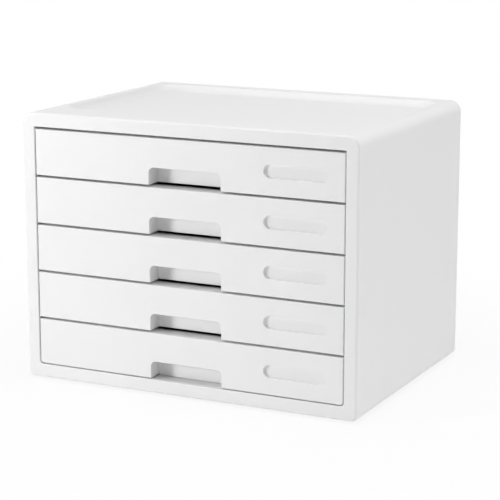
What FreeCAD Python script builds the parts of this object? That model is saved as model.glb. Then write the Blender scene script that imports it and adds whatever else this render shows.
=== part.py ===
import FreeCAD, Part
import math
import os

# Desktop document cabinet with five drawers, moulded in white plastic.
# Millimetres. X is the width, with the front at -Y, and Z is up from the surface under the feet.
# The origin is under the middle of the cabinet.

Vector = FreeCAD.Vector

# Housing
overall_width = 340.0
overall_depth = 252.0
wall = 2.5
top_edge_radius = 11.0
bottom_edge_radius = 5.5
front_edge_radius = 2.2
back_edge_radius = 1.0

# Front frame around the drawers
stile_width = 12.4
header_height = 13.2
sill_height = 12.8
frame_return_gap = 0.5
opening_bottom_radius = 4.0
opening_top_radius = 0.8
opening_edge_radius = 0.8

# Shallow tray sunk into the top, with sides that lean out at 45 degrees
sunk_depth = 6.2
sunk_side_rim = 17.0
sunk_back_rim = 15.0
sunk_front_shelf = 42.0
sunk_corner = 18.0
sunk_floor_radius = 12.0
sunk_edge_radius = 4.0

# Ledges turned in at the bottom, wider than what stands on them by a margin
ledge_margin = 2.0

# Drawer fronts
drawer_count = 5
front_height = 43.4
front_gap = 2.0
sill_gap = 1.0
side_gap = 1.0
front_setback = 0.5
front_depth = 17.5
front_skin = 2.5
front_flange = 2.0
front_face_radius = 1.0
lowest_front_corner = 3.0

# Finger pull in the bottom edge of each drawer front
pull_width = 73.0
pull_height = 16.2
pull_corner = 5.0
pull_lip = 8.0
pull_wall = 1.8
pull_edge_radius = 0.6
pull_slot = 2.8
pull_skirt_clearance = 0.5

# Label recess in each drawer front
label_length = 62.0
label_height = 12.0
label_depth = 2.8
label_floor = 1.6
label_margin = 16.0
label_edge_radius = 0.4

# Drawer trays
tray_wall = 2.0
tray_lift = 2.2
tray_top_drop = 4.4
tray_corner = 5.0
tray_floor_radius = 2.0
tray_rim_radius = 0.5
tray_rear_room = 6.0
plate_clearance = 0.2
lip_clearance = 1.1
lip_width = 3.9
lip_thickness = 2.0
rear_lip_width = 2.0
stop_lug_inset = 39.5
stop_lug_length = 4.0
stop_lug_height = 2.0
stop_lug_width = 2.0

# Snaps between a drawer front and its tray
snap_width = 16.0
snap_height = 1.2
snap_thickness = 1.0
snap_clearance = 0.3
snap_spacing = 105.0

# Runner panels inside the side walls
runner_plate = 2.0
runner_standoff = 4.0
runner_side_clearance = 1.3
runner_slide_clearance = 0.2
runner_front_clearance = 0.3
runner_end_margin = 22.0
runner_bottom_gap = 3.0
runner_top_gap = 0.6
rail_thickness = 2.4
guide_thickness = 1.8
guide_clearance = 0.5
stop_nib_length = 4.0
stop_clearance = 0.2

# Base panel under the lowest drawer
base_floor = 2.5
base_skirt = 2.2
base_side_clearance = 0.3
base_tray_clearance = 0.6
base_front_clearance = 0.3
base_end_gap = 0.3
base_rib = 1.8
base_rib_height = 2.0
base_pad_height = 2.0
base_pad_margin = 1.3

# Back panel
back_panel_thickness = 2.5
back_panel_inset = 1.5
back_panel_clearance = 0.3
back_field_margin = 30.0
back_field_depth = 0.8
back_field_corner = 6.0
back_boss_width = 8.0
back_boss_height = 9.0
back_boss_depth = 14.0

# Push-in rubber feet
foot_drop = 2.0
foot_radius = 8.0
foot_edge_radius = 0.8
foot_stem_radius = 2.5
foot_stem_clearance = 0.1
foot_barb_radius = 3.2
foot_barb_height = 2.2
foot_side_inset = 22.0
foot_skirt_gap = 1.8

# Screws
screw_radius = 1.4
screw_head_radius = 2.8
screw_head_height = 1.8
screw_cross_length = 3.4
screw_cross_width = 0.9
screw_cross_depth = 1.1
screw_hole_clearance = 0.2
screw_head_clearance = 0.4
screw_pilot_clearance = 0.05
screw_boss_radius = 4.0
screw_tip_gap = 0.5
runner_screw_inset = 20.0
back_screw_inset = 14.0
base_screw_inset = 50.0

# How far a cutting or joining shape runs past a face that it has to cross
spare = 1.0

# Places that follow from the sizes
half_width = overall_width / 2
front_y = -overall_depth / 2
back_y = overall_depth / 2
inner_half = half_width - wall
inner_top_radius = max(top_edge_radius - wall, 0.0)
inner_bottom_radius = max(bottom_edge_radius - wall, 0.0)
body_bottom = foot_drop
ledge_top = body_bottom + wall
opening_half = half_width - stile_width
drawer_pitch = front_height + front_gap
opening_bottom = body_bottom + sill_height
opening_top = opening_bottom + sill_gap + drawer_count * drawer_pitch
body_top = opening_top + header_height

front_half = opening_half - side_gap
face_y = front_y + front_setback
front_back_y = face_y + front_depth
plate_y = front_back_y - tray_wall
back_panel_out_y = back_y - back_panel_inset
back_panel_in_y = back_panel_out_y - back_panel_thickness
back_seat_y = back_panel_out_y - back_panel_thickness / 2

lip_half = opening_half - lip_clearance
tray_half = lip_half - lip_width
tray_height = front_height - tray_top_drop - tray_lift
tray_back_y = back_panel_in_y - tray_rear_room

runner_front_y = front_back_y + runner_front_clearance
runner_back_y = back_y - runner_end_margin
runner_outer = inner_half - runner_standoff
runner_inner = runner_outer - runner_plate
rail_inner = tray_half + runner_side_clearance
nib_back_y = runner_front_y + stop_nib_length
lug_front_y = tray_back_y - stop_lug_inset
drawer_travel = lug_front_y - stop_clearance - nib_back_y


def drawer_bottom(number):
    """Height of a drawer front's bottom edge. Drawer 1 is the top one."""
    return opening_bottom + sill_gap + (drawer_count - number) * drawer_pitch


base_top = drawer_bottom(drawer_count) + tray_lift - base_tray_clearance
base_under = base_top - base_floor
base_front_y = front_back_y + base_front_clearance
frame_return_y = base_front_y - frame_return_gap
base_back_y = back_panel_in_y - base_end_gap
base_half = inner_half - inner_bottom_radius - base_side_clearance
pad_top = ledge_top + base_pad_height
pad_radius = screw_boss_radius + base_pad_margin
base_screw_x = base_half - base_skirt - base_end_gap - pad_radius
foot_front_y = base_front_y + base_skirt + foot_skirt_gap + foot_barb_radius
foot_rear_y = base_back_y - base_skirt - foot_skirt_gap - foot_barb_radius


# Shapes used by several pieces

def block(x0, x1, y0, y1, z0, z1):
    """A box between two corners."""
    return Part.makeBox(x1 - x0, y1 - y0, z1 - z0, Vector(x0, y0, z0))


def pin(radius, start, end):
    """A cylinder from one point to another."""
    axis = Vector(*end) - Vector(*start)
    return Part.makeCylinder(radius, axis.Length, Vector(*start), axis)


def rounded_face(u0, u1, v0, v1, radii, place):
    """A flat rectangle with rounded corners, radii going round from the low u, low v corner."""
    corners = ((u0, v0, 1, 1), (u1, v0, -1, 1), (u1, v1, -1, -1), (u0, v1, 1, -1))
    stops = []
    for (u, v, du, dv), radius in zip(corners, radii):
        beside_v = place(u, v + dv * radius)
        beside_u = place(u + du * radius, v)
        reach = radius * (1 - math.sqrt(0.5))
        middle = place(u + du * reach, v + dv * reach)
        first, last = (beside_v, beside_u) if du * dv > 0 else (beside_u, beside_v)
        stops.append((first, middle, last, radius))
    edges = []
    for index, (first, middle, last, radius) in enumerate(stops):
        if radius > 0:
            edges.append(Part.Arc(first, middle, last).toShape())
        following = stops[(index + 1) % len(stops)][0]
        if (following - last).Length > 1e-6:
            edges.append(Part.LineSegment(last, following).toShape())
    return Part.Face(Part.Wire(edges))


def upright_slab(half, z0, z1, bottom_radius, top_radius, y0, y1, middle=0.0):
    """A slab facing the front, with rounded corners in the front view."""
    radii = (bottom_radius, bottom_radius, top_radius, top_radius)
    face = rounded_face(middle - half, middle + half, z0, z1, radii, lambda u, v: Vector(u, y0, v))
    return face.extrude(Vector(0, y1 - y0, 0))


def level_slab(half, y0, y1, radius, z0, z1):
    """A slab lying flat, with equal rounded corners in plan."""
    face = rounded_face(-half, half, y0, y1, (radius,) * 4, lambda u, v: Vector(u, v, z0))
    return face.extrude(Vector(0, 0, z1 - z0))


def basin(half, y0, y1, radius, floor_radius, z0, z1):
    """A flat slab with rounded plan corners and a rounded bottom edge."""
    slab = level_slab(half, y0, y1, radius, z0, z1)
    return slab.makeFillet(min(floor_radius, 0.9 * radius), edges_in_plane(slab, "Z", z0))


def dish(half, y0, y1, radius, slope, floor_radius, z0, z1):
    """A flat slab with rounded plan corners, sides that lean in below and a rounded bottom edge."""
    slab = level_slab(half, y0, y1, radius, z0, z1)
    slab = slab.makeChamfer(slope, edges_in_plane(slab, "Z", z0))
    return slab.makeFillet(min(floor_radius, 2 * slope), edges_in_plane(slab, "Z", z0))


def edges_in_plane(shape, axis, value, inside=None):
    """Edges in the plane where a coordinate has one value, all or those inside a rectangle.

    The rectangle is the lowest and highest X and the lowest and highest of the other coordinate.
    """
    other = "Y" if axis == "Z" else "Z"
    near = 1e-3
    found = []
    for edge in shape.Edges:
        box = edge.BoundBox
        low = getattr(box, axis + "Min")
        high = getattr(box, axis + "Max")
        if abs(low - value) > near or abs(high - value) > near:
            continue
        if inside is None:
            found.append(edge)
            continue
        x0, x1, v0, v1 = inside
        beside = box.XMin < x0 - near or box.XMax > x1 + near
        beyond = getattr(box, other + "Min") < v0 - near or getattr(box, other + "Max") > v1 + near
        if not beside and not beyond:
            found.append(edge)
    return found


def joined(shapes):
    """One solid from several that meet."""
    return shapes[0].multiFuse(shapes[1:]).removeSplitter()


def without(shape, tools):
    """A solid with several shapes cut out of it."""
    return shape.cut(Part.makeCompound(tools))


def mirrored(shape):
    """The same shape on the other side of the cabinet."""
    return shape.mirror(Vector(0, 0, 0), Vector(1, 0, 0))


# Places of fasteners and feet

def runner_screw_places():
    """Depths and heights of the screws that hold a runner panel, clear of its rails."""
    heights = [drawer_bottom(number) + tray_lift + tray_height / 2 for number in (1, drawer_count)]
    depths = (runner_front_y + runner_screw_inset, runner_back_y - runner_screw_inset)
    return [(y, z) for z in heights for y in depths]


def back_screw_places():
    """Places of the screws in the back panel: low, middle and high on each side."""
    x = inner_half - back_boss_width / 2
    low = base_top + back_screw_inset
    high = opening_top - back_screw_inset
    return [(side * x, z) for z in (low, (low + high) / 2, high) for side in (-1, 1)]


def base_screw_places():
    """Places of the screws that hold the base panel down on the side ledges."""
    depths = (front_y + base_screw_inset, back_y - base_screw_inset)
    return [(side * base_screw_x, y) for side in (-1, 1) for y in depths]


def foot_places():
    """Names and places of the feet, on the corners of the ledges."""
    x = half_width - foot_side_inset
    return {
        "foot_front_left": (-x, foot_front_y),
        "foot_front_right": (x, foot_front_y),
        "foot_rear_left": (-x, foot_rear_y),
        "foot_rear_right": (x, foot_rear_y),
    }


# Housing

def housing():
    """One moulding: the top with its sunk tray, both sides, the front frame and the ledges."""
    shell = joined([sleeve(), frame_return()])
    shell = without(shell, [frame_opening(), ledge_window()])
    sunk_half, sunk_front, sunk_back = sunk_outline()
    rim = edges_in_plane(shell, "Z", body_top, (-sunk_half, sunk_half, sunk_front, sunk_back))
    shell = shell.makeFillet(min(sunk_edge_radius, 0.7 * (sunk_side_rim - top_edge_radius)), rim)
    frame = edges_in_plane(shell, "Y", front_y, (-opening_half, opening_half, opening_bottom, opening_top))
    shell = shell.makeFillet(opening_edge_radius, frame)
    bosses, holes = housing_bosses()
    return without(joined([shell] + bosses), holes)


def sunk_outline():
    """Half width, front and back of the tray sunk into the top."""
    return half_width - sunk_side_rim, front_y + sunk_front_shelf, back_y - sunk_back_rim


def sleeve():
    """The outer walls, open at the back, at one thickness all over."""
    outside = upright_slab(half_width, body_bottom, body_top, bottom_edge_radius, top_edge_radius,
                           front_y, back_y)
    rolled = min(front_edge_radius, 0.9 * bottom_edge_radius, 0.9 * top_edge_radius)
    outside = outside.makeFillet(rolled, edges_in_plane(outside, "Y", front_y))
    outside = outside.makeFillet(back_edge_radius, edges_in_plane(outside, "Y", back_y))
    half, front, back = sunk_outline()
    floor = body_top - sunk_depth
    sunk = dish(half, front, back, sunk_corner, sunk_depth, sunk_floor_radius, floor, body_top + spare)
    around = wall * math.sqrt(2)
    below = dish(half + around, front - around, back + around, sunk_corner + around, sunk_depth + wall,
                 sunk_floor_radius + wall, floor - wall, body_top + spare)
    cavity = upright_slab(inner_half, ledge_top, body_top - wall, inner_bottom_radius, inner_top_radius,
                          front_y + wall, back_y + spare)
    return outside.cut(cavity.cut(below)).cut(sunk)


def frame_return():
    """The wall that turns in round the drawer opening, before the opening is cut."""
    return upright_slab(opening_half + wall, opening_bottom - wall, opening_top + wall,
                        opening_bottom_radius + wall, opening_top_radius + wall,
                        front_y + wall / 2, frame_return_y)


def frame_opening():
    """The space that the drawers pass through."""
    return upright_slab(opening_half, opening_bottom, opening_top, opening_bottom_radius, opening_top_radius,
                        front_y - spare, frame_return_y + spare)


def ledge_window():
    """The window in the bottom that leaves the ledges."""
    half = base_screw_x - pad_radius - ledge_margin
    around_foot = foot_radius + ledge_margin
    return block(-half, half, foot_front_y + around_foot, foot_rear_y - around_foot, body_bottom - spare,
                 ledge_top + spare)


def housing_bosses():
    """What the panels are screwed to, and the holes for screws and feet."""
    bosses = []
    holes = []
    pilot = screw_radius + screw_pilot_clearance
    for side in (-1, 1):
        for y, z in runner_screw_places():
            bosses.append(pin(screw_boss_radius, (side * runner_outer, y, z),
                              (side * (inner_half + wall / 2), y, z)))
            holes.append(pin(pilot, (side * (runner_outer - spare), y, z), (side * inner_half, y, z)))
    for x, z in back_screw_places():
        reach = math.copysign(back_boss_width / 2 + wall / 2, x)
        inner, outer = sorted((x - math.copysign(back_boss_width / 2, x), x + reach))
        front = back_panel_in_y - back_boss_depth
        bosses.append(block(inner, outer, front, back_panel_in_y, z - back_boss_height / 2,
                            z + back_boss_height / 2))
        holes.append(pin(pilot, (x, front + wall, z), (x, back_panel_in_y + spare, z)))
    for x, y in base_screw_places():
        bosses.append(pin(pad_radius, (x, y, body_bottom + wall / 2), (x, y, pad_top)))
        below = (x, y, body_bottom - spare)
        holes.append(pin(screw_radius + screw_hole_clearance, below, (x, y, pad_top + spare)))
        holes.append(pin(screw_head_radius + screw_head_clearance, below, (x, y, ledge_top)))
    for x, y in foot_places().values():
        holes.append(pin(foot_stem_radius + foot_stem_clearance, (x, y, body_bottom - spare),
                         (x, y, ledge_top + spare)))
    return bosses, holes


# Panels inside the housing

def runner_panel():
    """The right-hand runner panel: a plate with a rail, a guide and a stop nib for each drawer."""
    pieces = [block(runner_inner, runner_outer, runner_front_y, runner_back_y, base_top + runner_bottom_gap,
                    opening_top - runner_top_gap)]
    for number in range(1, drawer_count + 1):
        lip_top = drawer_bottom(number) + tray_lift + tray_height
        rail_top = lip_top - lip_thickness - runner_slide_clearance
        guide_low = lip_top + stop_lug_height + guide_clearance
        guide_top = guide_low + guide_thickness
        long_part = (rail_inner, runner_outer, runner_front_y, runner_back_y)
        pieces.append(block(*long_part, rail_top - rail_thickness, rail_top))
        pieces.append(block(*long_part, guide_low, guide_top))
        pieces.append(block(rail_inner, runner_outer, runner_front_y, nib_back_y, lip_top + guide_clearance,
                            guide_top))
    hole = screw_radius + screw_hole_clearance
    holes = [pin(hole, (runner_inner - spare, y, z), (runner_outer + spare, y, z))
             for y, z in runner_screw_places()]
    return without(joined(pieces), holes)


def base_panel():
    """A floor on a skirt, ribbed underneath, with bosses for its screws."""
    outside = block(-base_half, base_half, base_front_y, base_back_y, ledge_top, base_top)
    hollow = block(-base_half + base_skirt, base_half - base_skirt, base_front_y + base_skirt,
                   base_back_y - base_skirt, ledge_top - spare, base_under)
    pieces = [outside.cut(hollow)]
    rib_low = base_under - base_rib_height
    rib = base_rib / 2
    skirt = base_skirt / 2
    for x in (-base_half / 2, 0.0, base_half / 2):
        pieces.append(block(x - rib, x + rib, base_front_y + skirt, base_back_y - skirt, rib_low,
                            base_under + base_floor / 2))
    middle_y = (base_front_y + base_back_y) / 2
    pieces.append(block(-base_half + skirt, base_half - skirt, middle_y - rib, middle_y + rib, rib_low,
                        base_under + base_floor / 2))
    holes = []
    for x, y in base_screw_places():
        pieces.append(pin(screw_boss_radius, (x, y, pad_top), (x, y, base_under + base_floor / 2)))
        holes.append(pin(screw_radius + screw_pilot_clearance, (x, y, pad_top - spare), (x, y, base_under)))
    return without(joined(pieces), holes)


def back_panel():
    """The plate that closes the back, with a sunk field outside and stepped screw holes."""
    gap = back_panel_clearance
    panel = upright_slab(inner_half - gap, ledge_top + gap, body_top - wall - gap,
                         max(inner_bottom_radius - gap, 0.0), max(inner_top_radius - gap, 0.0),
                         back_panel_in_y, back_panel_out_y)
    field = upright_slab(inner_half - back_field_margin, ledge_top + back_field_margin,
                         body_top - wall - back_field_margin, back_field_corner, back_field_corner,
                         back_panel_out_y - back_field_depth, back_y)
    holes = [field]
    for x, z in back_screw_places():
        holes.append(pin(screw_radius + screw_hole_clearance, (x, back_panel_in_y - spare, z),
                         (x, back_y, z)))
        holes.append(pin(screw_head_radius + screw_head_clearance, (x, back_seat_y, z), (x, back_y, z)))
    return without(panel, holes)


# Drawers

def snap_places(number):
    """Place and height of each snap, two in a drawer's top flange and two in its bottom flange."""
    top = drawer_bottom(number) + front_height - front_flange
    bottom = drawer_bottom(number) + front_flange
    return [(x, z, way) for z, way in ((top, 1), (bottom, -1)) for x in (-snap_spacing, snap_spacing)]


def snap_block(x, z0, z1, clearance):
    """A snap, or with a clearance the slot for one, in the middle of the tray's front plate."""
    y = plate_y + tray_wall / 2
    half = snap_width / 2 + clearance
    thick = snap_thickness / 2 + clearance
    return block(x - half, x + half, y - thick, y + thick, min(z0, z1), max(z0, z1))


def drawer_front(number):
    """A hollow cap with a smooth face, a finger pull open at the bottom and a sunk label place."""
    z0 = drawer_bottom(number)
    z1 = z0 + front_height
    corner = lowest_front_corner if number == drawer_count else 0.0
    outside = upright_slab(front_half, z0, z1, corner, 0.0, face_y, front_back_y)
    outside = outside.makeFillet(front_face_radius, edges_in_plane(outside, "Y", face_y))
    hollow = upright_slab(front_half - front_flange, z0 + front_flange, z1 - front_flange,
                          max(corner - front_flange, 0.0), 0.0, face_y + front_skin, front_back_y + spare)
    pull_box, pull_space, pull_mouth = finger_pull(z0)
    label_backing, label_space, label_outline = label_recess(z0)
    slots = [snap_block(x, z - way * spare, z + way * (front_flange + spare), snap_clearance)
             for x, z, way in snap_places(number)]
    cap = joined([outside.cut(hollow), pull_box, label_backing])
    cap = without(cap, [pull_space.fuse(pull_mouth), label_space] + slots)
    cap = cap.makeFillet(label_edge_radius, edges_in_plane(cap, "Y", face_y, label_outline))
    half = pull_width / 2
    mouth_edges = edges_in_plane(cap, "Y", face_y, (-half, half, z0, z0 + pull_height))
    return cap.makeFillet(pull_edge_radius, mouth_edges)


def finger_pull(z0):
    """The pull's surrounding walls, the space behind the face and the mouth cut in the face."""
    half = pull_width / 2
    ceiling = z0 + pull_height + pull_lip
    box = block(-half - pull_wall, half + pull_wall, face_y + front_skin / 2, plate_y, z0 + front_flange / 2,
                ceiling + pull_wall)
    space = block(-half, half, face_y + front_skin, front_back_y + spare, z0 - spare, ceiling)
    mouth = upright_slab(half, z0 - spare, z0 + pull_height, 0.0, pull_corner, face_y - spare,
                         face_y + front_skin + spare)
    return box, space, mouth


def pull_skirt(number):
    """The part of a tray's front plate that closes the back of the pull, down to a slot or the sill."""
    z0 = drawer_bottom(number)
    over_sill = z0 - sill_gap + pull_skirt_clearance
    over_drawer = z0 - front_gap + pull_slot
    half = pull_width / 2 - plate_clearance
    return block(-half, half, plate_y, front_back_y, over_sill if number == drawer_count else over_drawer,
                 z0 + tray_lift + tray_wall)


def label_recess(z0):
    """The wall behind the label place, the space of the recess and the rectangle round its outline."""
    middle = front_half - label_margin - label_length / 2
    low = z0 + (front_height - label_height) / 2
    high = low + label_height
    half = label_length / 2
    end = label_height / 2
    wider = end + label_floor
    backing = upright_slab(half + label_floor, low - label_floor, high + label_floor, wider, wider,
                           face_y + front_skin / 2, face_y + label_depth + label_floor, middle)
    space = upright_slab(half, low, high, end, end, face_y - spare, face_y + label_depth, middle)
    return backing, space, (middle - half, middle + half, low, high)


def drawer_tray(number):
    """An open tray with a front plate for the cap, runner lips along its top edges and stop lugs."""
    bottom = drawer_bottom(number) + tray_lift
    top = bottom + tray_height
    lip_low = top - lip_thickness
    body = basin(tray_half, plate_y, tray_back_y, tray_corner, tray_floor_radius + tray_wall, bottom, top)
    corner = max(lowest_front_corner - front_flange, 0.0) if number == drawer_count else 0.0
    plate_top = drawer_bottom(number) + front_height - front_flange - plate_clearance
    plate = upright_slab(front_half - front_flange - plate_clearance, bottom, plate_top, corner, 0.0,
                         plate_y, front_back_y)
    square_end = tray_back_y - tray_corner
    lip_front = front_back_y + runner_front_clearance
    long_lips = block(-lip_half, lip_half, lip_front, square_end, lip_low, top)
    rear_lip = level_slab(lip_half, square_end - 2 * tray_corner, tray_back_y + rear_lip_width, tray_corner,
                          lip_low, top)
    lips = joined([long_lips, rear_lip])
    rim = [edge for edge in edges_in_plane(lips, "Z", top) if edge.BoundBox.YMax > lip_front + tray_wall]
    lips = lips.makeFillet(min(tray_rim_radius, 0.4 * lip_thickness), rim)
    pieces = [body, plate, lips, pull_skirt(number)]
    for x, z, way in snap_places(number):
        pieces.append(snap_block(x, z - way * (plate_clearance + spare), z + way * snap_height, 0.0))
    inside = basin(tray_half - tray_wall, front_back_y, tray_back_y - tray_wall, tray_corner - tray_wall,
                   tray_floor_radius, bottom + tray_wall, top + spare)
    lugs = []
    for side in (-1, 1):
        x0, x1 = sorted((side * (lip_half - stop_lug_width), side * lip_half))
        lugs.append(block(x0, x1, lug_front_y, lug_front_y + stop_lug_length, lip_low, top + stop_lug_height))
    return joined([joined(pieces).cut(inside)] + lugs)


# Feet and screws

def foot(x, y):
    """A push-in rubber foot: a disc, a stem through the ledge and a barb above it."""
    disc = pin(foot_radius, (x, y, 0), (x, y, foot_drop))
    disc = disc.makeFillet(min(foot_edge_radius, 0.8 * foot_drop), edges_in_plane(disc, "Z", 0.0))
    stem = pin(foot_stem_radius, (x, y, foot_drop / 2), (x, y, ledge_top + foot_barb_height / 2))
    barb = Part.makeCone(foot_barb_radius, foot_stem_radius * 0.7, foot_barb_height, Vector(x, y, ledge_top))
    return joined([disc, stem, barb])


def screw(seat, way, length):
    """A pan-head screw with a cross recess. The seat is the middle of the face under its head."""
    start = Vector(*seat)
    axis = Vector(*way)
    top = start - axis * screw_head_height
    shank = Part.makeCylinder(screw_radius, length, start, axis)
    head = Part.makeCylinder(screw_head_radius, screw_head_height, start, axis * -1)
    rim = [edge for edge in head.Edges if (edge.CenterOfMass - top).Length < 1e-4]
    head = head.makeFillet(screw_head_height / 2, rim)
    bars = []
    for long_way in ("x", "y"):
        size = {"x": screw_cross_width, "y": screw_cross_width}
        size[long_way] = screw_cross_length
        bar = Part.makeBox(size["x"], size["y"], 2 * screw_cross_depth,
                           Vector(-size["x"] / 2, -size["y"] / 2, -screw_cross_depth))
        turned = FreeCAD.Placement(top, FreeCAD.Rotation(Vector(0, 0, 1), axis))
        bar.Placement = turned.multiply(bar.Placement)
        bars.append(bar)
    return without(joined([shank, head]), [bars[0].fuse(bars[1])])


def runner_screws(side):
    """The screws of one runner panel."""
    length = runner_plate + runner_standoff - screw_tip_gap
    return [screw((side * runner_inner, y, z), (side, 0, 0), length) for y, z in runner_screw_places()]


def back_screws():
    """The screws of the back panel."""
    length = back_seat_y - back_panel_in_y + back_boss_depth - wall - screw_tip_gap
    return [screw((x, back_seat_y, z), (0, -1, 0), length) for x, z in back_screw_places()]


def base_screws():
    """The screws that come up through the side ledges into the base panel."""
    length = base_under - ledge_top - screw_tip_gap
    return [screw((x, y, ledge_top), (0, 0, 1), length) for x, y in base_screw_places()]


def all_pieces():
    """Every piece by its node name."""
    right_runner = runner_panel()
    nodes = {
        "housing": housing(),
        "back_panel": back_panel(),
        "base_panel": base_panel(),
        "runner_panel_right": right_runner,
        "runner_panel_left": mirrored(right_runner),
        "back_panel_screws": Part.makeCompound(back_screws()),
        "base_panel_screws": Part.makeCompound(base_screws()),
        "runner_screws_right": Part.makeCompound(runner_screws(1)),
        "runner_screws_left": Part.makeCompound(runner_screws(-1)),
    }
    for name, (x, y) in foot_places().items():
        nodes[name] = foot(x, y)
    for number in range(1, drawer_count + 1):
        nodes[f"drawer_front_{number}"] = drawer_front(number)
        nodes[f"drawer_tray_{number}"] = drawer_tray(number)
    return nodes


print("A drawer slides out", round(drawer_travel, 3), "mm")
os.makedirs("parts", exist_ok=True)
for name, shape in all_pieces().items():
    shape.exportStep(f"parts/{name}.step")
    print(name, "solids", len(shape.Solids), "valid", shape.isValid(), "volume", round(shape.Volume))
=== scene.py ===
import math
from collections import namedtuple

import bmesh
import bpy
from bpy.props import FloatProperty, FloatVectorProperty, IntProperty, PointerProperty
from mathutils import Matrix, Vector


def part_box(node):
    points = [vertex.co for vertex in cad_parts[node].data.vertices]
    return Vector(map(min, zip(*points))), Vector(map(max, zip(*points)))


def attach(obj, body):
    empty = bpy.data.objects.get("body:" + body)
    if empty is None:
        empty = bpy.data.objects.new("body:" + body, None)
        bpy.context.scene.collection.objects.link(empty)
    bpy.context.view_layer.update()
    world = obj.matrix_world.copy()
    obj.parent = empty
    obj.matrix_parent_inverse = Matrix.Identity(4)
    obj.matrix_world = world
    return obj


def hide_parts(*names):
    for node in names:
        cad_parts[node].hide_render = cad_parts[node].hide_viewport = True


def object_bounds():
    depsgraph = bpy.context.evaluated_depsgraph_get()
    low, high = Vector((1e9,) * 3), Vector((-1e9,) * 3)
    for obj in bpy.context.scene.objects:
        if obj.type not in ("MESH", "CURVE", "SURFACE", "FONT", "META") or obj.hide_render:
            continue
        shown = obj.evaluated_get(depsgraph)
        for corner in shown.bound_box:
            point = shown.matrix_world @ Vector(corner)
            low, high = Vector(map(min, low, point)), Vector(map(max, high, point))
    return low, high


bl_info = {
    "name": "Desktop Drawer Cabinet",
    "version": (1, 0, 0),
    "blender": (4, 5, 0),
    "location": "3D View > Sidebar > Cabinet",
    "description": "Finishes, small moulded details and a studio for a five-drawer desktop cabinet",
    "category": "Object",
}

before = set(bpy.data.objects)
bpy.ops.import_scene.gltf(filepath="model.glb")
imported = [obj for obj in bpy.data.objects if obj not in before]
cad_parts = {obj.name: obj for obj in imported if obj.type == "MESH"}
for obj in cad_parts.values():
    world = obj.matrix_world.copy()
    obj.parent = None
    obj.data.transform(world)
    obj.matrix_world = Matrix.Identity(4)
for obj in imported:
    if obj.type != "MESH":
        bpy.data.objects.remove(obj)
cad_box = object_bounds()

DRAWERS = range(1, 1 + sum(name.startswith("drawer_front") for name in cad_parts))
FEET = sorted(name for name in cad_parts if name.startswith("foot_"))
SCREWS = sorted(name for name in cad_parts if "screws" in name)
PANELS = ("back_panel", "base_panel", "runner_panel_left", "runner_panel_right")

# Where the lowest front begins, the height of one storey and the depth of the faces, from the frame
LOWEST_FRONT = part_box(f"drawer_front_{DRAWERS[-1]}")[0].z
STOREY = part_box(f"drawer_front_{DRAWERS[-2]}")[0].z - LOWEST_FRONT
FACE_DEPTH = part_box("drawer_front_1")[0].y

# Finishes: spread of the gloss, loss of roughness and grain by wear, and where fingers polish a front
ROUGHNESS_SPREAD = 0.04
POLISH = 0.10
WORN_GRAIN = 0.55
PLASTIC_IOR = 1.53
PULL_HEIGHT = 0.012
FINGER_REACH = 0.05

# Feet: radii as shares of the foot's own, lengths in metres
STEM_SHARE = 0.32
BARB_SHARE = 0.4
TIP_SHARE = 0.22
BARB_HEIGHT = 0.0022
FOOT_CHAMFER = 0.0003
GROOVE_SLOPE = 0.25
FOOT_EDGE_STEPS = 4
FOOT_SPIN_STEPS = 64
SMOOTH_ANGLE = math.radians(30)

# Pin marks and floor
PIN_SEGMENTS = 32
PIN_DIP = 0.8
FLOOR_SEGMENTS = 96
FLOOR_GAP = 0.0002
FULL_SHADOW = 0.25
NODE_SPACING = 200


# Settings

class PlasticSettings(bpy.types.PropertyGroup):
    """Colours and moulded grain of the plastic pieces"""

    housing_white: FloatVectorProperty(
        name="Housing white", description="Colour of the housing", subtype="COLOR",
        default=(0.855, 0.855, 0.855), min=0.0, max=1.0)
    front_white: FloatVectorProperty(
        name="Front white", description="Colour of the drawer fronts", subtype="COLOR",
        default=(0.86, 0.86, 0.86), min=0.0, max=1.0)
    # The trays' white is lighter than the fronts' white; the extra is painted light that brightens the
    # shaded back walls of the pull pockets, which are the trays' front plates.
    tray_white_with_painted_light: FloatVectorProperty(
        name="Tray white", description="Colour of the drawer trays", subtype="COLOR",
        default=(0.9, 0.9, 0.9), min=0.0, max=1.0)
    panel_white: FloatVectorProperty(
        name="Panel white", description="Colour of the back, base and runner panels", subtype="COLOR",
        default=(0.82, 0.82, 0.825), min=0.0, max=1.0)
    grain_size: FloatProperty(
        name="Grain size", description="Width of one dimple of the moulded grain", unit="LENGTH",
        default=0.0006, min=0.0001, precision=5)
    grain_depth: FloatProperty(
        name="Grain depth", description="Depth of the moulded grain", unit="LENGTH",
        default=0.00003, min=0.0, precision=6)
    flow_size: FloatProperty(
        name="Flow size", description="Width of the faint clouds that the melt leaves as it flows",
        unit="LENGTH", default=0.06, min=0.005)


class FootSettings(bpy.types.PropertyGroup):
    """Shape and colour of the rubber feet"""

    rubber_grey: FloatVectorProperty(
        name="Rubber grey", description="Colour of the rubber", subtype="COLOR",
        default=(0.22, 0.22, 0.225), min=0.0, max=1.0)
    groove_depth: FloatProperty(
        name="Groove depth", description="Depth of the grip grooves under a foot", unit="LENGTH",
        default=0.0005, min=0.0, precision=5)
    groove_count: IntProperty(
        name="Grooves", description="Number of ring grooves under a foot", default=2, min=0, max=4)
    edge_radius: FloatProperty(
        name="Edge radius", description="Rounding of a foot's lower edge", unit="LENGTH",
        default=0.0008, min=0.0, precision=5)


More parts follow.
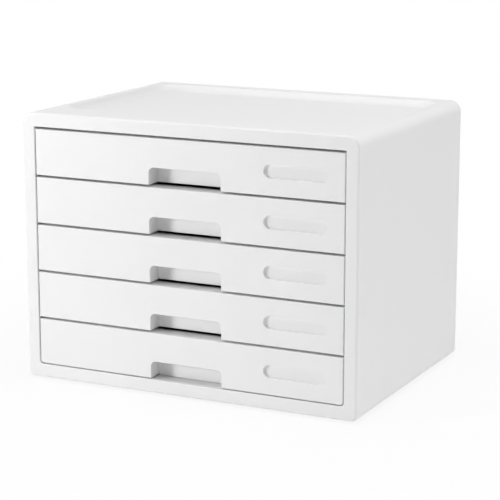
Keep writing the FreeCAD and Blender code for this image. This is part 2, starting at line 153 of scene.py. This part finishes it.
class MarkSettings(bpy.types.PropertyGroup):
    """Marks that the mould leaves in the drawer trays"""

    tray_wall: FloatProperty(
        name="Tray wall", description="Thickness of a tray's floor", unit="LENGTH",
        default=0.002, precision=4)
    pin_radius: FloatProperty(
        name="Pin radius", description="Radius of the ring that an ejector pin leaves", unit="LENGTH",
        default=0.004, precision=4)
    ring_width: FloatProperty(
        name="Ring width", description="Width of that ring", unit="LENGTH", default=0.0005, precision=5)
    ring_height: FloatProperty(
        name="Ring height", description="Height of that ring above the floor", unit="LENGTH",
        default=0.00012, precision=6)
    columns: IntProperty(
        name="Columns", description="Pin marks across a tray", default=4, min=1)
    rows: IntProperty(
        name="Rows", description="Pin marks from a tray's front to its back", default=3, min=1)


class StageSettings(bpy.types.PropertyGroup):
    """Camera, floor and lamps"""

    camera_place: FloatVectorProperty(
        name="Camera", description="Place of the camera", subtype="TRANSLATION", unit="LENGTH",
        default=(0.7653, -1.5425, 0.4953))
    camera_turn: FloatProperty(
        name="Camera turn", description="Turn of the view about the upright axis", subtype="ANGLE",
        default=math.radians(26.278))
    camera_dip: FloatProperty(
        name="Camera dip", description="How far the camera looks down", subtype="ANGLE",
        default=math.radians(12.422))
    camera_lens: FloatProperty(
        name="Lens", description="Focal length of the camera in millimetres", subtype="DISTANCE_CAMERA",
        default=131.49)
    floor_white: FloatVectorProperty(
        name="Floor white", description="Colour of the floor", subtype="COLOR",
        default=(0.9, 0.9, 0.9), min=0.0, max=1.0)
    floor_radius: FloatProperty(
        name="Floor radius", description="Radius of the floor", unit="LENGTH", default=6.0)
    shadow_share: FloatProperty(
        name="Shadow share", description="How much of the shadow the white floor keeps near the cabinet",
        subtype="FACTOR", default=0.14, min=0.0, max=1.0)
    shadow_reach: FloatProperty(
        name="Shadow reach", description="Distance at which the floor has turned plain white",
        unit="LENGTH", default=0.55)
    room_light: FloatProperty(
        name="Room light", description="Strength of the even light from all round", default=0.1, min=0.0)
    key_power: FloatProperty(
        name="Key lamp", description="Power of the small lamp at the front left",
        unit="POWER", default=13.2)
    fill_power: FloatProperty(
        name="Fill lamp", description="Power of the wide lamp at the front right",
        unit="POWER", default=5.0)
    side_power: FloatProperty(
        name="Side lamp", description="Power of the low strip on the right",
        unit="POWER", default=11.3)
    top_power: FloatProperty(
        name="Top lamp", description="Power of the wide lamp overhead",
        unit="POWER", default=41.0)
    back_power: FloatProperty(
        name="Back lamp", description="Power of the low strip at the rear left, below the level of the top",
        unit="POWER", default=10.0)


# Shader node helpers

class Nodes:
    """A short way to place and link nodes in a tree."""

    def __init__(self, tree):
        self.tree = tree
        self.across = 0

    def add(self, kind, settings=None, **inputs):
        """Places a node, sets its properties and fills its inputs with values or links."""
        node = self.tree.nodes.new(kind)
        node.location = (self.across, 0)
        self.across += NODE_SPACING
        for key, value in (settings or {}).items():
            setattr(node, key, value)
        for key, value in inputs.items():
            self.fill(node, key.replace("_", " "), value)
        return node

    def fill(self, node, key, value):
        """Puts a value into an input, or links an output to it."""
        if key.startswith("input "):
            socket = node.inputs[int(key.split()[1])]
        else:
            socket = next(s for s in node.inputs if s.name.lower() == key.lower() and s.enabled)
        if isinstance(value, bpy.types.NodeSocket):
            self.tree.links.new(value, socket)
        else:
            socket.default_value = value

    def group(self, tree, vector, **inputs):
        """A node group placed on some coordinates."""
        return self.add("ShaderNodeGroup", {"node_tree": tree}, Vector=vector, **inputs)

    def math(self, operation, first, second):
        """One arithmetic step."""
        node = self.add("ShaderNodeMath", {"operation": operation}, input_0=first, input_1=second)
        return node.outputs[0]

    def ranged(self, value, low, high, new_low, new_high):
        """A value moved from one range to another, and kept inside it."""
        node = self.add("ShaderNodeMapRange", None, Value=value, From_Min=low, From_Max=high,
                        To_Min=new_low, To_Max=new_high)
        return node.outputs["Result"]

    def mixed(self, share, first, second):
        """A colour between two colours."""
        node = self.add("ShaderNodeMix", {"data_type": "RGBA"}, Factor=share, A=first, B=second)
        return next(s for s in node.outputs if s.enabled)

    def noise(self, vector, detail, roughness):
        """Noise at the scale that the vector has."""
        node = self.add("ShaderNodeTexNoise", None, Vector=vector, Scale=1.0,
                        Detail=detail, Roughness=roughness)
        return node.outputs["Fac"]

    def scaled(self, vector, size):
        """A vector divided by a size in metres."""
        inverse = self.math("DIVIDE", 1.0, size)
        node = self.add("ShaderNodeVectorMath", {"operation": "SCALE"}, Vector=vector, Scale=inverse)
        return node.outputs[0]

    def bump(self, height, strength, depth):
        """A normal that is bent by a height."""
        node = self.add("ShaderNodeBump", None, Height=height, Strength=strength, Distance=depth)
        return node.outputs["Normal"]


def cleared(owner):
    """Empties the node tree of a material or a world, to build it anew."""
    owner.use_nodes = True
    owner.node_tree.nodes.clear()
    return Nodes(owner.node_tree)


def node_group(name, inputs, outputs):
    """A new shader node group with named sockets, its input node and its output node."""
    group = bpy.data.node_groups.new(name, "ShaderNodeTree")
    for socket, kind, default in inputs:
        made = group.interface.new_socket(socket, in_out="INPUT", socket_type=kind)
        if default is not None:
            made.default_value = default
    for socket, kind in outputs:
        group.interface.new_socket(socket, in_out="OUTPUT", socket_type=kind)
    nodes = Nodes(group)
    return group, nodes, nodes.add("NodeGroupInput"), nodes.add("NodeGroupOutput")


def moulded_grain():
    """Fine dimples from the mould's surface, and faint clouds from the flow of the melt."""
    name = "Moulded Grain"
    if name in bpy.data.node_groups:
        return bpy.data.node_groups[name]
    group, nodes, given, made = node_group(
        name,
        [("Vector", "NodeSocketVector", None), ("Grain Size", "NodeSocketFloat", 0.0006),
         ("Flow Size", "NodeSocketFloat", 0.06)],
        [("Grain", "NodeSocketFloat"), ("Flow", "NodeSocketFloat")])
    dimples = nodes.scaled(given.outputs["Vector"], given.outputs["Grain Size"])
    clouds = nodes.scaled(given.outputs["Vector"], given.outputs["Flow Size"])
    grain = nodes.noise(dimples, detail=2.0, roughness=0.6)
    flow = nodes.noise(clouds, detail=3.0, roughness=0.5)
    nodes.fill(made, "Grain", grain)
    nodes.fill(made, "Flow", nodes.ranged(flow, 0.3, 0.7, 0.0, 1.0))
    return group


def rubbed_patch():
    """A patch that is worn smooth, strongest in its middle and broken up towards its edge."""
    name = "Rubbed Patch"
    if name in bpy.data.node_groups:
        return bpy.data.node_groups[name]
    group, nodes, given, made = node_group(
        name,
        [("Vector", "NodeSocketVector", None), ("Middle", "NodeSocketVector", None),
         ("Reach", "NodeSocketFloat", 0.05)],
        [("Mask", "NodeSocketFloat")])
    away = nodes.add("ShaderNodeVectorMath", {"operation": "DISTANCE"},
                     input_0=given.outputs["Vector"], input_1=given.outputs["Middle"]).outputs["Value"]
    share = nodes.math("DIVIDE", away, given.outputs["Reach"])
    blotch_size = 0.008
    raggedness = 0.35
    blotches = nodes.noise(nodes.scaled(given.outputs["Vector"], blotch_size), detail=4.0, roughness=0.6)
    ragged = nodes.math("ADD", share, nodes.ranged(blotches, 0.25, 0.75, -raggedness, raggedness))
    nodes.fill(made, "Mask", nodes.ranged(ragged, 0.2, 1.0, 1.0, 0.0))
    return group


def sliding_scuffs():
    """Hair-fine scuffs along the way that a drawer slides."""
    name = "Sliding Scuffs"
    if name in bpy.data.node_groups:
        return bpy.data.node_groups[name]
    group, nodes, given, made = node_group(
        name,
        [("Vector", "NodeSocketVector", None), ("Width", "NodeSocketFloat", 0.0008),
         ("Length", "NodeSocketFloat", 0.05)],
        [("Mask", "NodeSocketFloat")])
    split = nodes.add("ShaderNodeSeparateXYZ", None, Vector=given.outputs["Vector"])
    across = nodes.math("DIVIDE", split.outputs["X"], given.outputs["Width"])
    along = nodes.math("DIVIDE", split.outputs["Y"], given.outputs["Length"])
    up = nodes.math("DIVIDE", split.outputs["Z"], given.outputs["Width"])
    stretched = nodes.add("ShaderNodeCombineXYZ", None, X=across, Y=along, Z=up).outputs[0]
    streaks = nodes.noise(stretched, detail=3.0, roughness=0.65)
    nodes.fill(made, "Mask", nodes.ranged(streaks, 0.56, 0.72, 0.0, 1.0))
    return group


# Materials

def new_material(name):
    """An empty node material with its shader, and its Object coordinates."""
    material = bpy.data.materials.new(name)
    nodes = cleared(material)
    coordinates = nodes.add("ShaderNodeTexCoord").outputs["Object"]
    shader = nodes.add("ShaderNodeBsdfPrincipled")
    nodes.add("ShaderNodeOutputMaterial", None, Surface=shader.outputs["BSDF"])
    return material, nodes, coordinates, shader


def storey_place(nodes, coordinates):
    """Coordinates that start again at the bottom of every drawer front."""
    split = nodes.add("ShaderNodeSeparateXYZ", None, Vector=coordinates)
    above = nodes.math("SUBTRACT", split.outputs["Z"], LOWEST_FRONT)
    height = nodes.math("FLOORED_MODULO", above, STOREY)
    place = nodes.add("ShaderNodeCombineXYZ", None, X=split.outputs["X"], Y=split.outputs["Y"], Z=height)
    return place.outputs[0]


def tinted(colour, factor):
    """A colour made lighter or darker, with full alpha."""
    return tuple(min(1.0, part * factor) for part in colour) + (1.0,)


def plastic(name, colour, roughness, tone_spread, wear=None):
    """Moulded plastic: fine grain, faint flow clouds and, where it is handled, a smoother patch.

    The wear is a function of the nodes and the coordinates that gives a mask.
    """
    look = bpy.context.scene.cabinet_plastic
    material, nodes, coordinates, shader = new_material(name)
    grain = nodes.group(moulded_grain(), coordinates, Grain_Size=look.grain_size, Flow_Size=look.flow_size)
    darker = tinted(colour, 1.0 - tone_spread)
    lighter = tinted(colour, 1.0 + tone_spread)
    tone = nodes.mixed(grain.outputs["Flow"], darker, lighter)
    rough = nodes.ranged(grain.outputs["Flow"], 0.0, 1.0,
                         roughness - ROUGHNESS_SPREAD, roughness + ROUGHNESS_SPREAD)
    height = grain.outputs["Grain"]
    if wear:
        mask = wear(nodes, coordinates)
        rough = nodes.math("SUBTRACT", rough, nodes.math("MULTIPLY", mask, POLISH))
        height = nodes.math("MULTIPLY", height, nodes.ranged(mask, 0.0, 1.0, 1.0, WORN_GRAIN))
    nodes.fill(shader, "Base Color", tone)
    nodes.fill(shader, "Roughness", rough)
    nodes.fill(shader, "Normal", nodes.bump(height, strength=1.0, depth=look.grain_depth))
    shader.inputs["IOR"].default_value = PLASTIC_IOR
    return material


def finger_polish(nodes, coordinates):
    """Wear where fingertips go in under a drawer front."""
    place = storey_place(nodes, coordinates)
    middle = (0.0, FACE_DEPTH, PULL_HEIGHT)
    return nodes.group(rubbed_patch(), place, Middle=middle, Reach=FINGER_REACH).outputs["Mask"]


def paper_scuffs(nodes, coordinates):
    """Wear that sheets of paper leave on a tray's floor."""
    return nodes.group(sliding_scuffs(), coordinates, Width=0.0008, Length=0.05).outputs["Mask"]


def runner_scuffs(nodes, coordinates):
    """Wear that the drawers' lips leave along the runner panels."""
    return nodes.group(sliding_scuffs(), coordinates, Width=0.0005, Length=0.12).outputs["Mask"]


def rubber(name, colour):
    """Matt rubber with a fine pebble and a little dust."""
    material, nodes, coordinates, shader = new_material(name)
    grain = nodes.group(moulded_grain(), coordinates, Grain_Size=0.0004, Flow_Size=0.004)
    clean = tinted(colour, 0.85)
    dusty = tinted(colour, 1.3)
    nodes.fill(shader, "Base Color", nodes.mixed(grain.outputs["Flow"], clean, dusty))
    nodes.fill(shader, "Roughness", nodes.ranged(grain.outputs["Flow"], 0.0, 1.0, 0.75, 0.9))
    nodes.fill(shader, "Normal", nodes.bump(grain.outputs["Grain"], strength=1.0, depth=0.00005))
    return material


def zinc_steel(name):
    """Zinc-plated steel with a faint mottle and fine driver scratches."""
    material, nodes, coordinates, shader = new_material(name)
    grain = nodes.group(moulded_grain(), coordinates, Grain_Size=0.00025, Flow_Size=0.0015)
    scuffs = nodes.group(sliding_scuffs(), coordinates, Width=0.00015, Length=0.004).outputs["Mask"]
    dull_zinc = (0.56, 0.57, 0.59, 1)
    bright_zinc = (0.70, 0.70, 0.71, 1)
    scuff_roughness = 0.12
    nodes.fill(shader, "Base Color", nodes.mixed(grain.outputs["Flow"], dull_zinc, bright_zinc))
    rough = nodes.ranged(grain.outputs["Grain"], 0.3, 0.7, 0.28, 0.42)
    scuffed = nodes.math("MULTIPLY", scuffs, scuff_roughness)
    nodes.fill(shader, "Roughness", nodes.math("ADD", rough, scuffed))
    nodes.fill(shader, "Normal", nodes.bump(scuffs, strength=0.4, depth=0.00002))
    shader.inputs["Metallic"].default_value = 1.0
    return material


def floor_white(settings):
    """A white floor that keeps the cabinet's shadow and fades to plain white further out."""
    material = bpy.data.materials.new("floor_white")
    nodes = cleared(material)
    coordinates = nodes.add("ShaderNodeTexCoord").outputs["Object"]
    away = nodes.add("ShaderNodeVectorMath", {"operation": "LENGTH"}, Vector=coordinates).outputs["Value"]
    near = nodes.add("ShaderNodeMapRange", {"interpolation_type": "SMOOTHSTEP"}, Value=away,
                     From_Min=FULL_SHADOW * settings.shadow_reach, From_Max=settings.shadow_reach,
                     To_Min=settings.shadow_share, To_Max=0.0).outputs["Result"]
    seen = seen_directly(nodes)
    whitened = nodes.math("MULTIPLY", seen, nodes.math("SUBTRACT", 1.0, near))
    matt = nodes.add("ShaderNodeBsdfDiffuse", None, Color=tuple(settings.floor_white) + (1.0,))
    glow = nodes.add("ShaderNodeEmission", None, Color=(1.0, 1.0, 1.0, 1.0), Strength=1.0)
    mix = nodes.add("ShaderNodeMixShader", None, input_0=whitened,
                    input_1=matt.outputs[0], input_2=glow.outputs[0])
    nodes.add("ShaderNodeOutputMaterial", None, Surface=mix.outputs[0])
    return material


def seen_directly(nodes):
    """One for rays from the camera, and for mirrored or refracted ones."""
    path = nodes.add("ShaderNodeLightPath")
    first = nodes.math("MAXIMUM", path.outputs["Is Camera Ray"], path.outputs["Is Glossy Ray"])
    return nodes.math("MAXIMUM", first, path.outputs["Is Transmission Ray"])


def dress(node, material):
    """Gives a node of the frame its material."""
    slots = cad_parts[node].material_slots
    if not slots:
        raise RuntimeError(f"{node} has no material slot")
    for slot in slots:
        slot.material = material


# New pieces

def piece_from(bm, name, material, body):
    """Makes an object from a bmesh, with its place in the mesh, and lets it ride on a body."""
    bmesh.ops.remove_doubles(bm, verts=bm.verts, dist=1e-7)
    bmesh.ops.recalc_face_normals(bm, faces=bm.faces)
    mesh = bpy.data.meshes.new(name)
    bm.to_mesh(mesh)
    bm.free()
    mesh.materials.append(material)
    piece = bpy.data.objects.new(name, mesh)
    bpy.context.scene.collection.objects.link(piece)
    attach(piece, body)
    return piece


def foot_outline(settings, radius, disc_top, top):
    """Points from the middle of a foot's underside, round its edge and up its stem and barb."""
    edge = settings.edge_radius
    flat = radius - edge
    # The underside falls into equal rings, and a groove takes the last of every three
    groove = flat / (3 * settings.groove_count + 2)
    points = [(0.0, 0.0)]
    for ring in range(settings.groove_count):
        start = (3 * ring + 2) * groove
        slope = GROOVE_SLOPE * groove
        points += [(start, 0.0), (start + slope, settings.groove_depth),
                   (start + groove, settings.groove_depth), (start + groove + slope, 0.0)]
    for step in range(FOOT_EDGE_STEPS + 1):
        turn = math.radians(90.0 * step / FOOT_EDGE_STEPS)
        points.append((flat + edge * math.sin(turn), edge * (1.0 - math.cos(turn))))
    stem = STEM_SHARE * radius
    barb = BARB_SHARE * radius
    tip = TIP_SHARE * radius
    seat = top - BARB_HEIGHT
    points += [(radius, disc_top - FOOT_CHAMFER), (radius - FOOT_CHAMFER, disc_top), (stem, disc_top),
               (stem, seat), (barb, seat), (barb, seat + FOOT_CHAMFER), (tip, top), (0.0, top)]
    return points


def spun(outline, middle, steps):
    """A bmesh turned from an outline of radii and heights about an upright axis."""
    bm = bmesh.new()
    verts = [bm.verts.new((middle.x + across, middle.y, height)) for across, height in outline]
    edges = [bm.edges.new(pair) for pair in zip(verts, verts[1:])]
    bmesh.ops.spin(bm, geom=verts + edges, cent=(middle.x, middle.y, 0.0), axis=(0, 0, 1), dvec=(0, 0, 0),
                   angle=2 * math.pi, steps=steps, use_merge=True)
    return bm


def pin_ring(bm, place, settings):
    """Adds the raised ring that an ejector pin leaves on a floor."""
    made = bmesh.ops.create_circle(bm, cap_ends=True, radius=settings.pin_radius, segments=PIN_SEGMENTS,
                                   matrix=Matrix.Translation(place))
    disc = made["verts"][0].link_faces[0]
    raised = bmesh.ops.extrude_face_region(bm, geom=[disc])["geom"]
    lid = next(item for item in raised if isinstance(item, bmesh.types.BMFace))
    bmesh.ops.translate(bm, verts=lid.verts, vec=(0, 0, settings.ring_height))
    bmesh.ops.inset_region(bm, faces=[lid], thickness=settings.ring_width)
    inner_slope = settings.ring_width / 3
    bmesh.ops.inset_region(bm, faces=[lid], thickness=inner_slope)
    bmesh.ops.translate(bm, verts=lid.verts, vec=(0, 0, -PIN_DIP * settings.ring_height))


def smooth_sides(piece, angle):
    """Shades a piece smooth up to an angle between its faces."""
    piece.data.shade_smooth()
    piece.data.set_sharp_from_angle(angle=angle)


# Operators

class CABINET_OT_finish_housing(bpy.types.Operator):
    """Gives the housing its moulded white finish"""

    bl_idname = "cabinet.finish_housing"
    bl_label = "Finish Housing"

    def execute(self, context):
        colour = context.scene.cabinet_plastic.housing_white
        dress("housing", plastic("housing_white", colour, roughness=0.46, tone_spread=0.006))
        return {"FINISHED"}


class CABINET_OT_finish_drawers(bpy.types.Operator):
    """Gives the drawer fronts and trays their finishes"""

    bl_idname = "cabinet.finish_drawers"
    bl_label = "Finish Drawers"

    def execute(self, context):
        look = context.scene.cabinet_plastic
        front = plastic("drawer_front_white", look.front_white,
                        roughness=0.45, tone_spread=0.006, wear=finger_polish)
        # The tray colour carries painted light: it is lighter than the fronts to brighten the shaded walls
        # of the pull pockets.
        tray = plastic("drawer_tray_white", look.tray_white_with_painted_light,
                       roughness=0.38, tone_spread=0.01, wear=paper_scuffs)
        for number in DRAWERS:
            dress(f"drawer_front_{number}", front)
            dress(f"drawer_tray_{number}", tray)
        return {"FINISHED"}


class CABINET_OT_finish_panels(bpy.types.Operator):
    """Gives the back, base and runner panels their finish"""

    bl_idname = "cabinet.finish_panels"
    bl_label = "Finish Panels"

    def execute(self, context):
        colour = context.scene.cabinet_plastic.panel_white
        material = plastic("panel_white", colour, roughness=0.5, tone_spread=0.012, wear=runner_scuffs)
        for node in PANELS:
            dress(node, material)
        return {"FINISHED"}


class CABINET_OT_finish_screws(bpy.types.Operator):
    """Gives the screws their plated steel finish"""

    bl_idname = "cabinet.finish_screws"
    bl_label = "Finish Screws"

    def execute(self, context):
        material = zinc_steel("zinc_steel")
        for node in SCREWS:
            dress(node, material)
        return {"FINISHED"}


class CABINET_OT_make_feet(bpy.types.Operator):
    """Turns the rubber feet with their grip grooves"""

    bl_idname = "cabinet.make_feet"
    bl_label = "Make Feet"

    def execute(self, context):
        settings = context.scene.cabinet_feet
        material = rubber("foot_rubber", settings.rubber_grey)
        disc_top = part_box("housing")[0].z
        for node in FEET:
            low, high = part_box(node)
            outline = foot_outline(settings, (high.x - low.x) / 2, disc_top, high.z)
            turned = spun(outline, (low + high) / 2, FOOT_SPIN_STEPS)
            piece = piece_from(turned, f"rubber_{node}", material, "cabinet")
            smooth_sides(piece, SMOOTH_ANGLE)
            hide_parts(node)
        return {"FINISHED"}


class CABINET_OT_make_mould_marks(bpy.types.Operator):
    """Adds the rings that ejector pins leave on the floors of the trays"""

    bl_idname = "cabinet.make_mould_marks"
    bl_label = "Make Mould Marks"

    def execute(self, context):
        settings = context.scene.cabinet_marks
        for number in DRAWERS:
            node = f"drawer_tray_{number}"
            low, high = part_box(node)
            floor = low.z + settings.tray_wall
            bm = bmesh.new()
            for column in range(settings.columns):
                for row in range(settings.rows):
                    x = low.x + (high.x - low.x) * (column + 0.5) / settings.columns
                    y = low.y + (high.y - low.y) * (row + 0.5) / settings.rows
                    pin_ring(bm, Vector((x, y, floor)), settings)
            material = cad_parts[node].material_slots[0].material
            piece_from(bm, f"mould_marks_{number}", material, f"drawer_{number}")
        return {"FINISHED"}


Lamp = namedtuple("Lamp", "name azimuth elevation distance width height power")


class CABINET_OT_make_stage(bpy.types.Operator):
    """Sets up the floor, the lamps, the surroundings and the camera"""

    bl_idname = "cabinet.make_stage"
    bl_label = "Make Stage"

    def execute(self, context):
        scene = context.scene
        settings = scene.cabinet_stage
        self.lay_floor(scene, settings)
        self.hang_lamps(scene, settings)
        self.light_room(scene, settings)
        self.set_camera(scene, settings)
        scene.view_settings.view_transform = "Standard"
        return {"FINISHED"}

    def lay_floor(self, scene, settings):
        """A round floor just under the feet."""
        bm = bmesh.new()
        bmesh.ops.create_circle(bm, cap_ends=True, radius=settings.floor_radius, segments=FLOOR_SEGMENTS,
                                matrix=Matrix.Translation((0, 0, -FLOOR_GAP)))
        mesh = bpy.data.meshes.new("floor")
        bm.to_mesh(mesh)
        bm.free()
        mesh.materials.append(floor_white(settings))
        floor = bpy.data.objects.new("floor", mesh)
        scene.collection.objects.link(floor)

    def hang_lamps(self, scene, settings):
        """Soft boxes round the cabinet, all turned to its middle."""
        middle = (cad_box[0] + cad_box[1]) / 2
        lamps = (
            Lamp("key_lamp", -43, 8, 1.7, 0.4, 0.4, settings.key_power),
            Lamp("fill_lamp", 45, 10, 2.4, 1.6, 1.6, settings.fill_power),
            Lamp("side_lamp", 98, 0, 2.2, 1.6, 0.24, settings.side_power),
            Lamp("top_lamp", 50, 80, 2.2, 2.0, 2.0, settings.top_power),
            Lamp("back_lamp", -160, 0, 1.6, 1.0, 0.22, settings.back_power),
        )
        for lamp in lamps:
            turn = math.radians(lamp.azimuth)
            rise = math.radians(lamp.elevation)
            level = math.cos(rise)
            out = Vector((math.sin(turn) * level, -math.cos(turn) * level, math.sin(rise)))
            data = bpy.data.lights.new(lamp.name, "AREA")
            data.shape = "RECTANGLE"
            data.size = lamp.width
            data.size_y = lamp.height
            data.energy = lamp.power
            box = bpy.data.objects.new(lamp.name, data)
            box.location = middle + out * lamp.distance
            box.rotation_euler = out.to_track_quat("Z", "Y").to_euler()
            box.visible_camera = False
            scene.collection.objects.link(box)

    def light_room(self, scene, settings):
        """Even light from all round, with a white background."""
        world = bpy.data.worlds.new("studio")
        nodes = cleared(world)
        strength = nodes.ranged(seen_directly(nodes), 0.0, 1.0, settings.room_light, 1.0)
        glow = nodes.add("ShaderNodeBackground", None, Color=(1.0, 1.0, 1.0, 1.0), Strength=strength)
        nodes.add("ShaderNodeOutputWorld", None, Surface=glow.outputs[0])
        scene.world = world

    def set_camera(self, scene, settings):
        """A long lens from the front right, a little above the cabinet."""
        data = bpy.data.cameras.new("camera")
        data.sensor_width = 36.0
        data.lens = settings.camera_lens
        camera = bpy.data.objects.new("camera", data)
        camera.location = settings.camera_place
        level = math.cos(settings.camera_dip)
        ahead = Vector((-math.sin(settings.camera_turn) * level, math.cos(settings.camera_turn) * level,
                        -math.sin(settings.camera_dip)))
        camera.rotation_euler = ahead.to_track_quat("-Z", "Y").to_euler()
        scene.collection.objects.link(camera)
        scene.camera = camera


class CABINET_PT_sidebar(bpy.types.Panel):
    """Lists the cabinet's settings and operators"""

    bl_idname = "CABINET_PT_sidebar"
    bl_label = "Drawer Cabinet"
    bl_space_type = "VIEW_3D"
    bl_region_type = "UI"
    bl_category = "Cabinet"

    def draw(self, context):
        layout = self.layout
        for group in SETTINGS:
            settings = getattr(context.scene, group)
            column = layout.column(align=True)
            for name in settings.__annotations__:
                column.prop(settings, name)
        for operator in OPERATORS:
            layout.operator(operator.bl_idname)


SETTINGS = {
    "cabinet_plastic": PlasticSettings,
    "cabinet_feet": FootSettings,
    "cabinet_marks": MarkSettings,
    "cabinet_stage": StageSettings,
}
OPERATORS = (
    CABINET_OT_finish_housing,
    CABINET_OT_finish_drawers,
    CABINET_OT_finish_panels,
    CABINET_OT_finish_screws,
    CABINET_OT_make_feet,
    CABINET_OT_make_mould_marks,
    CABINET_OT_make_stage,
)


def register():
    """Adds the settings, the operators and the panel."""
    for name, group in SETTINGS.items():
        bpy.utils.register_class(group)
        setattr(bpy.types.Scene, name, PointerProperty(type=group))
    for operator in OPERATORS:
        bpy.utils.register_class(operator)
    bpy.utils.register_class(CABINET_PT_sidebar)


def unregister():
    """Takes them away again."""
    bpy.utils.unregister_class(CABINET_PT_sidebar)
    for operator in reversed(OPERATORS):
        bpy.utils.unregister_class(operator)
    for name, group in SETTINGS.items():
        delattr(bpy.types.Scene, name)
        bpy.utils.unregister_class(group)


def main():
    """Builds the whole scene."""
    register()
    bpy.ops.cabinet.finish_housing()
    bpy.ops.cabinet.finish_drawers()
    bpy.ops.cabinet.finish_panels()
    bpy.ops.cabinet.finish_screws()
    bpy.ops.cabinet.make_feet()
    bpy.ops.cabinet.make_mould_marks()
    bpy.ops.cabinet.make_stage()


if __name__ == "__main__":
    main()
